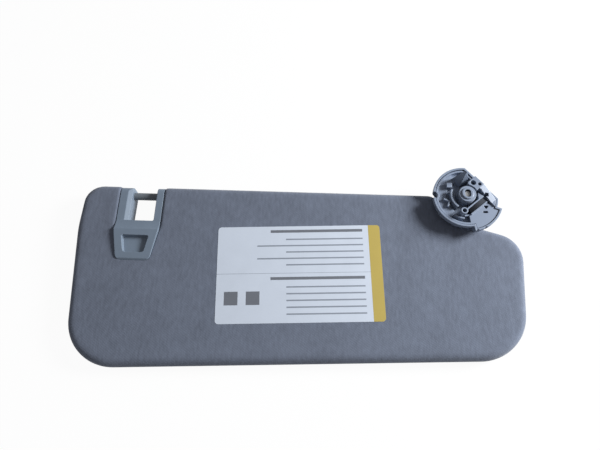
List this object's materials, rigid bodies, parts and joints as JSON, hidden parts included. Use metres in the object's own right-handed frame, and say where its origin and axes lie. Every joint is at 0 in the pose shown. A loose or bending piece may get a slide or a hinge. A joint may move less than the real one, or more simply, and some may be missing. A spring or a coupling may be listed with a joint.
{
  "type": "car sun visor",
  "caption": "Fabric-covered car sun visor for the left side, with a bent pivot rod in a round roof mount and a hook bar in a plastic bezel at the other end.",
  "frame": {"origin": "on the swivel axis, in the plane where the round mount seats on the roof", "axes": "+Z into the roof along the swivel axis, +X along the pivot rod away from the panel's hook end, the panel spreads towards -Y"},
  "size_m": [0.4106, 0.1885, 0.0469],
  "materials": {
    "fabric": "fine woven headliner cloth, matte",
    "shell_plastic": "moulded, unpainted",
    "trim_plastic": "fine-grained moulded",
    "bar_plastic": "smooth moulded",
    "mount_plastic": "smooth moulded, slight sheen",
    "bush_plastic": "self-lubricating, natural",
    "label_film": "printed film with a plain yellow band",
    "rod_steel": "drawn, zinc plated",
    "spring_steel": "blued",
    "screw_steel": "zinc plated"
  },
  "bodies": {
    "mount": {"mount_cup": "mount_plastic", "mount_bracket": "mount_plastic", "spigot_cap": "mount_plastic", "swivel_bush": "bush_plastic", "wave_washer": "spring_steel", "snap_clip": "spring_steel"},
    "arm": {"pivot_rod": "rod_steel", "push_nut": "spring_steel", "elbow_cover": "trim_plastic"},
    "visor": {"front_cover": "fabric", "rear_cover": "fabric", "front_core": "shell_plastic", "rear_core": "shell_plastic", "hook_bezel": "trim_plastic", "hook_bezel_rear": "trim_plastic", "hook_bar": "bar_plastic", "label_sticker": "label_film", "torque_clip": "spring_steel", "clip_housing": "shell_plastic", "clip_screw_left": "screw_steel", "clip_screw_right": "screw_steel", "outer_bush": "bush_plastic", "inner_bush": "bush_plastic"}
  },
  "joints": [
    {"name": "swivel", "type": "hinge", "parent": "mount", "child": "arm", "pos_m": [0, 0, 0], "axis": [0, 0, 1], "range_deg": [-95, 0]},
    {"name": "flip", "type": "hinge", "parent": "arm", "child": "visor", "pos_m": [0, 0, -0.022], "axis": [1, 0, 0], "range_deg": [0, 180]}
  ]
}
